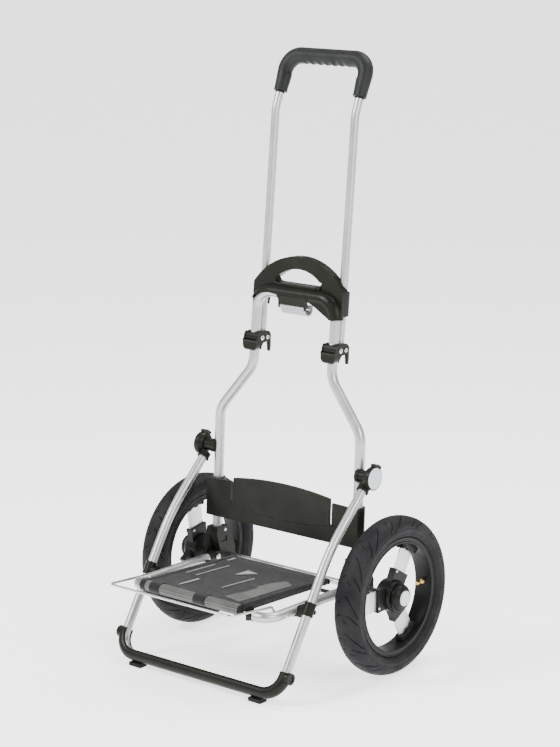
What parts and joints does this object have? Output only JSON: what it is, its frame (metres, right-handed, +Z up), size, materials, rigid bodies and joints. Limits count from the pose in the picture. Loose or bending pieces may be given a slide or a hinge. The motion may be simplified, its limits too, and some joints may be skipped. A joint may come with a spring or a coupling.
{
  "type": "hand truck",
  "caption": "Folding trolley frame with a telescopic handle, carry bracket, fold-down stand, fabric-covered shelf with a wire bow, and air-filled spoked wheels.",
  "frame": {"origin": "centre of the footprint at floor level, midway between the front of the wire bow and the rear of the tyres", "axes": "+Z up, +X to the right as seen by a person in front of the shelf looking at the frame, -Y towards the shelf's front, +Y towards the user"},
  "size_m": [0.524, 0.4834, 1.0976],
  "materials": {
    "tube_aluminium": "satin anodised",
    "spoke_aluminium": "satin",
    "steel": "plated",
    "black_plastic": "fine moulded grain",
    "wheel_plastic": "moulded",
    "grey_plastic": "smooth satin",
    "soft_grip": "soft touch",
    "foot_rubber": "matte",
    "tyre_rubber": "matte rubber with tread",
    "woven_fabric": "coated mesh weave",
    "valve_brass": "machined"
  },
  "bodies": {
    "frame": {"main_frame_tube": "tube_aluminium", "cross_panel": "black_plastic", "carry_bracket": "black_plastic", "hook_pin": "steel", "axle": "steel", "clamp_body_left": "black_plastic", "clamp_body_right": "black_plastic", "clamp_bolt_left": "steel", "clamp_bolt_right": "steel", "cam_pin_left": "steel", "cam_pin_right": "steel", "hinge_boss_left": "black_plastic", "hinge_boss_right": "black_plastic", "axle_bracket_left": "black_plastic", "axle_bracket_right": "black_plastic", "shelf_pivot_left": "steel", "shelf_pivot_right": "steel"},
    "handle": {"handle_tube": "tube_aluminium", "hand_grip": "soft_grip"},
    "lever_left": {"clamp_lever_left": "black_plastic"},
    "lever_right": {"clamp_lever_right": "black_plastic"},
    "cart_hook": {"cart_hook": "grey_plastic"},
    "stand": {"stand_tube": "tube_aluminium", "foot_cover": "black_plastic", "leg_socket_left": "black_plastic", "leg_socket_right": "black_plastic", "foot_pad_left": "foot_rubber", "foot_pad_right": "foot_rubber", "shelf_clip_left": "black_plastic", "shelf_clip_right": "black_plastic"},
    "stand_button_left": {"hinge_button_left": "grey_plastic"},
    "stand_button_right": {"hinge_button_right": "grey_plastic"},
    "shelf": {"tray_frame": "black_plastic", "tray_fabric": "woven_fabric", "shelf_tube_left": "tube_aluminium", "shelf_tube_right": "tube_aluminium", "shelf_end_left": "black_plastic", "shelf_end_right": "black_plastic", "shelf_saddle_left": "black_plastic", "shelf_saddle_right": "black_plastic"},
    "bail": {"wire_bail": "steel"},
    "wheel_left": {"tyre_left": "tyre_rubber", "rim_left": "wheel_plastic", "hub_left": "wheel_plastic", "hub_cap_left": "wheel_plastic", "valve_left": "valve_brass", "spoke_left_1": "spoke_aluminium", "spoke_left_2": "spoke_aluminium", "spoke_left_3": "spoke_aluminium"},
    "wheel_button_left": {"wheel_button_left": "grey_plastic"},
    "wheel_right": {"tyre_right": "tyre_rubber", "rim_right": "wheel_plastic", "hub_right": "wheel_plastic", "hub_cap_right": "wheel_plastic", "valve_right": "valve_brass", "spoke_right_1": "spoke_aluminium", "spoke_right_2": "spoke_aluminium", "spoke_right_3": "spoke_aluminium"},
    "wheel_button_right": {"wheel_button_right": "grey_plastic"}
  },
  "joints": [
    {"name": "handle_slide", "type": "slide", "parent": "frame", "child": "handle", "axis": [0, 0.0975, 0.9952], "range_m": [-0.26, 0]},
    {"name": "cart_hook_hinge", "type": "hinge", "parent": "frame", "child": "cart_hook", "pos_m": [0, 0.09907, 0.6405], "axis": [1, 0, 0], "range_deg": [-80, 0]},
    {"name": "stand_fold", "type": "hinge", "parent": "frame", "child": "stand", "pos_m": [0, 0.07837, 0.3597], "axis": [1, 0, 0], "range_deg": [0, 35]},
    {"name": "shelf_fold", "type": "hinge", "parent": "frame", "child": "shelf", "pos_m": [0, 0.06107, 0.1505], "axis": [1, 0, 0], "range_deg": [-75, 0]},
    {"name": "bail_fold", "type": "hinge", "parent": "shelf", "child": "bail", "pos_m": [0, -0.12693, 0.1505], "axis": [1, 0, 0], "range_deg": [-90, 0]},
    {"name": "lever_left_hinge", "type": "hinge", "parent": "frame", "child": "lever_left", "pos_m": [-0.0915, 0.10219, 0.574], "axis": [1, 0, 0], "range_deg": [-60, 0]},
    {"name": "stand_button_left_press", "type": "slide", "parent": "stand", "child": "stand_button_left", "axis": [1, 0, 0], "range_m": [0, 0.003], "stiffness_N_per_m": 400},
    {"name": "wheel_left_spin", "type": "hinge", "parent": "frame", "child": "wheel_left", "pos_m": [-0.2298, 0.09707, 0.145], "axis": [1, 0, 0], "continuous": true},
    {"name": "wheel_button_left_press", "type": "slide", "parent": "wheel_left", "child": "wheel_button_left", "axis": [1, 0, 0], "range_m": [0, 0.002], "stiffness_N_per_m": 400},
    {"name": "lever_right_hinge", "type": "hinge", "parent": "frame", "child": "lever_right", "pos_m": [0.0915, 0.10219, 0.574], "axis": [1, 0, 0], "range_deg": [-60, 0]},
    {"name": "stand_button_right_press", "type": "slide", "parent": "stand", "child": "stand_button_right", "axis": [-1, 0, 0], "range_m": [0, 0.003], "stiffness_N_per_m": 400},
    {"name": "wheel_right_spin", "type": "hinge", "parent": "frame", "child": "wheel_right", "pos_m": [0.2298, 0.09707, 0.145], "axis": [1, 0, 0], "continuous": true},
    {"name": "wheel_button_right_press", "type": "slide", "parent": "wheel_right", "child": "wheel_button_right", "axis": [-1, 0, 0], "range_m": [0, 0.002], "stiffness_N_per_m": 400}
  ]
}
